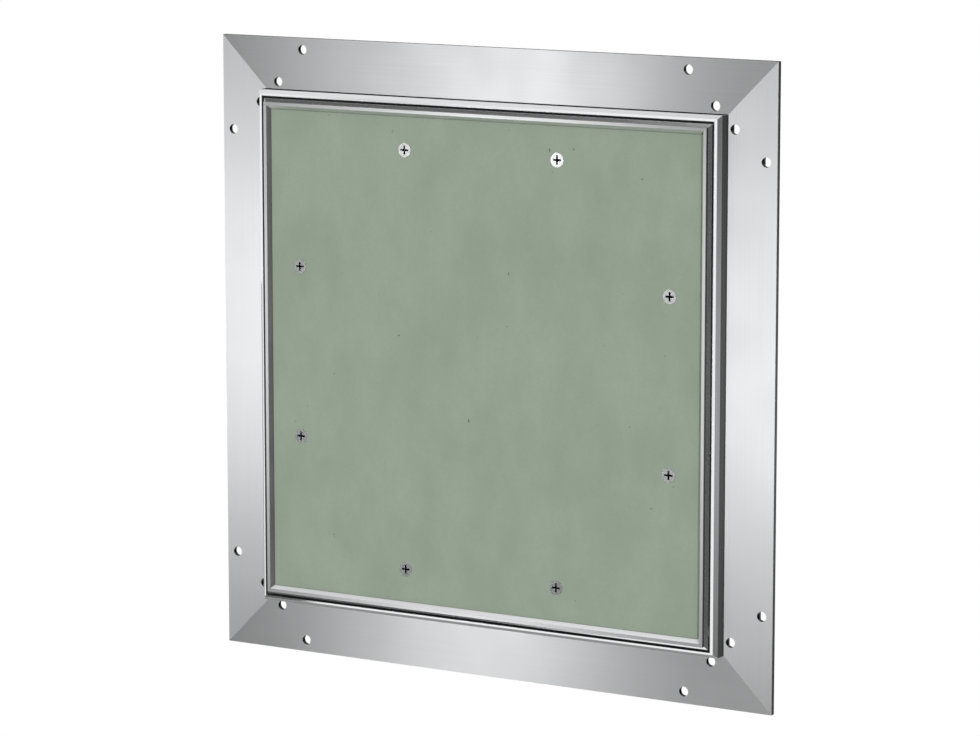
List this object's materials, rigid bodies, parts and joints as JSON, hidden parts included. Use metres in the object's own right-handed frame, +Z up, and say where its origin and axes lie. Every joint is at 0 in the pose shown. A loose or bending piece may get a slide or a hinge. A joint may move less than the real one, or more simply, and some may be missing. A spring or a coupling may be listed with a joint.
{
  "type": "drywall access panel",
  "caption": "Square wall access panel: mitred aluminium frame with a fixing flange, and a plasterboard-filled leaf that tips open on bottom pivots when its touch latch is pressed.",
  "frame": {"origin": "middle of the panel on the front face of the frame's flange, the centre of its fixing holes", "axes": "+X to the right seen from the room, +Y into the wall, +Z up; the leaf faces -Y"},
  "size_m": [0.368, 0.0572, 0.368],
  "materials": {
    "frame_aluminium": "satin extruded",
    "leaf_aluminium": "satin extruded",
    "green_board": "matt green paper face",
    "zinc_screws": "zinc plated",
    "key_steel": "galvanised",
    "pin_steel": "ground stainless",
    "nylon": "natural nylon",
    "black_plastic": "fine grain",
    "latch_steel": "zinc plated",
    "spring_steel": "drawn wire"
  },
  "bodies": {
    "frame": {"frame_top": "frame_aluminium", "frame_bottom": "frame_aluminium", "frame_left": "frame_aluminium", "frame_right": "frame_aluminium", "frame_corner_keys": "key_steel", "pivot_pins": "pin_steel", "latch_housing": "black_plastic", "latch_cover": "black_plastic", "latch_screws": "zinc_screws", "latch_pins": "pin_steel", "latch_spring": "spring_steel"},
    "leaf": {"leaf_top": "leaf_aluminium", "leaf_bottom": "leaf_aluminium", "leaf_left": "leaf_aluminium", "leaf_right": "leaf_aluminium", "leaf_corner_keys": "key_steel", "leaf_pivot_keys": "key_steel", "pivot_bushes": "nylon", "board": "green_board", "board_screws": "zinc_screws", "striker_plate": "latch_steel", "striker_stud": "latch_steel", "striker_screws": "zinc_screws"},
    "plunger": {"latch_plunger": "latch_steel", "latch_collar": "black_plastic"},
    "jaw_left": {"latch_jaw_left": "latch_steel"},
    "jaw_right": {"latch_jaw_right": "latch_steel"}
  },
  "joints": [
    {"name": "leaf_tip", "type": "hinge", "parent": "frame", "child": "leaf", "pos_m": [0, -0.006, -0.138], "axis": [1, 0, 0], "range_deg": [0, 110]},
    {"name": "plunger_slide", "type": "slide", "parent": "frame", "child": "plunger", "axis": [0, -1, 0], "range_m": [0, 0.003], "stiffness_N_per_m": 200, "springref_m": 0.003, "deforming": ["latch_spring"]},
    {"name": "jaw_right_swing", "type": "hinge", "parent": "frame", "child": "jaw_right", "pos_m": [0.0095, 0.016, 0.1296], "axis": [0, 0, 1], "range_deg": [-18, 0]},
    {"name": "jaw_left_swing", "type": "hinge", "parent": "frame", "child": "jaw_left", "pos_m": [-0.0095, 0.016, 0.1296], "axis": [0, 0, 1], "range_deg": [0, 18]}
  ],
  "couplings": [
    {"joint": "jaw_right_swing", "follows": "plunger_slide", "rad_per_m": -104.7},
    {"joint": "jaw_left_swing", "follows": "plunger_slide", "rad_per_m": 104.7}
  ]
}
